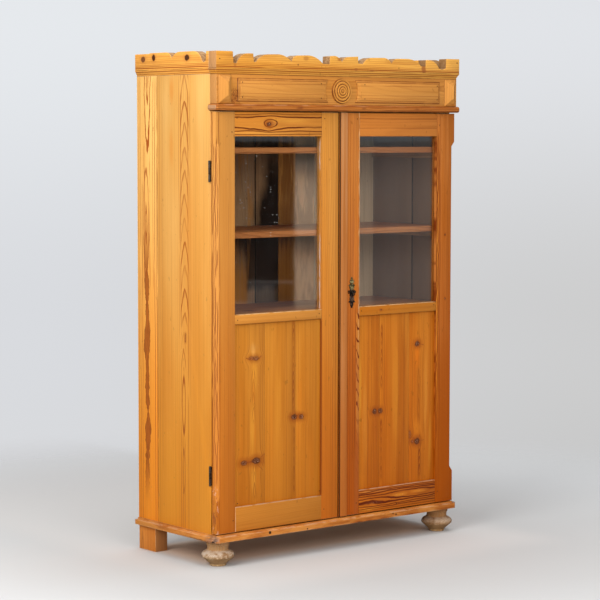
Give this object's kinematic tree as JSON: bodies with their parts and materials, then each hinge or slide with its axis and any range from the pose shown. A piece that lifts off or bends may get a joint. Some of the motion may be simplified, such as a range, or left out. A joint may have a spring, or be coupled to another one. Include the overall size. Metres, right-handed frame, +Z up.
{
  "type": "display cabinet",
  "caption": "Antique waxed pine display cabinet with glazed-over-panelled double doors, cut-out crest, faceted frieze, bun feet and a working lock.",
  "frame": {"origin": "centre of the bounding box's base, on the floor", "axes": "+Z up, +X to the right seen from the front, +Y to the back; the doors face -Y"},
  "size_m": [1.0896, 0.471, 1.687],
  "materials": {
    "side_pine": "waxed, satin",
    "door_pine": "waxed, satin",
    "panel_pine": "waxed, satin",
    "trim_pine": "waxed, satin",
    "inside_pine": "bare, darkened",
    "bare_worn_pine": "bare, rubbed",
    "window_glass": "old clear glass",
    "glazing_beads": "waxed",
    "dark_brass": "dark aged",
    "key_iron": "rubbed dark",
    "lock_iron": "dark",
    "hinge_iron": "dull, aged",
    "nail_iron": "dark"
  },
  "bodies": {
    "root": {"side_boards_left": "side_pine", "side_boards_right": "side_pine", "top_board": "inside_pine", "bottom_board": "inside_pine", "head_rail": "inside_pine", "back_planks": "inside_pine", "shelf_lower": "inside_pine", "shelf_middle": "inside_pine", "shelf_upper": "inside_pine", "shelf_cleats": "inside_pine", "base_moulding_front": "trim_pine", "base_moulding_left": "trim_pine", "base_moulding_right": "trim_pine", "bun_foot_left": "bare_worn_pine", "bun_foot_right": "bare_worn_pine", "rear_foot_left": "trim_pine", "rear_foot_right": "trim_pine", "mid_moulding": "trim_pine", "frieze_board": "trim_pine", "corner_block_left": "trim_pine", "corner_block_right": "trim_pine", "frieze_panel_left": "trim_pine", "frieze_panel_right": "trim_pine", "frieze_nails": "nail_iron", "rosette": "trim_pine", "cornice_front": "trim_pine", "cornice_left": "trim_pine", "cornice_right": "trim_pine", "crest_front": "trim_pine", "crest_left": "trim_pine", "crest_right": "trim_pine", "carcass_hinge_leaves": "hinge_iron", "hinge_pins": "hinge_iron"},
    "left_door": {"left_door_hinge_stile": "door_pine", "left_door_meeting_stile": "door_pine", "left_door_top_rail": "door_pine", "left_door_mid_rail": "door_pine", "left_door_bottom_rail": "door_pine", "left_door_glass": "window_glass", "left_door_glazing_beads": "glazing_beads", "left_door_panel_boards": "panel_pine", "left_door_hinge_leaves": "hinge_iron", "bolt_plates": "lock_iron", "lock_keeper": "lock_iron"},
    "right_door": {"right_door_hinge_stile": "door_pine", "right_door_meeting_stile": "door_pine", "right_door_top_rail": "door_pine", "right_door_mid_rail": "door_pine", "right_door_bottom_rail": "door_pine", "right_door_glass": "window_glass", "right_door_glazing_beads": "glazing_beads", "right_door_panel_boards": "panel_pine", "right_door_hinge_leaves": "hinge_iron", "astragal_strip": "door_pine", "lock_case": "lock_iron", "escutcheon": "dark_brass"},
    "key": {"key": "key_iron"},
    "lock_bolt": {"lock_bolt": "lock_iron"},
    "top_bolt": {"top_bolt": "lock_iron"},
    "bottom_bolt": {"bottom_bolt": "lock_iron"}
  },
  "joints": [
    {"name": "left_door_hinge", "type": "hinge", "parent": "root", "child": "left_door", "pos_m": [-0.532, -0.1845, 0.8], "axis": [0, 0, -1], "range_deg": [0, 170]},
    {"name": "right_door_hinge", "type": "hinge", "parent": "root", "child": "right_door", "pos_m": [0.532, -0.1845, 0.8], "axis": [0, 0, 1], "range_deg": [0, 170]},
    {"name": "key_turn", "type": "hinge", "parent": "right_door", "child": "key", "pos_m": [0.0513, -0.2115, 0.879], "axis": [0, -1, 0], "range_deg": [0, 360]},
    {"name": "lock_bolt_slide", "type": "slide", "parent": "right_door", "child": "lock_bolt", "axis": [-1, 0, 0], "range_m": [0, 0.014]},
    {"name": "top_bolt_slide", "type": "slide", "parent": "left_door", "child": "top_bolt", "axis": [0, 0, 1], "range_m": [0, 0.012]},
    {"name": "bottom_bolt_slide", "type": "slide", "parent": "left_door", "child": "bottom_bolt", "axis": [0, 0, -1], "range_m": [0, 0.012]}
  ],
  "couplings": [
    {"joint": "key_turn", "follows": "lock_bolt_slide", "rad_per_m": 448.7}
  ]
}
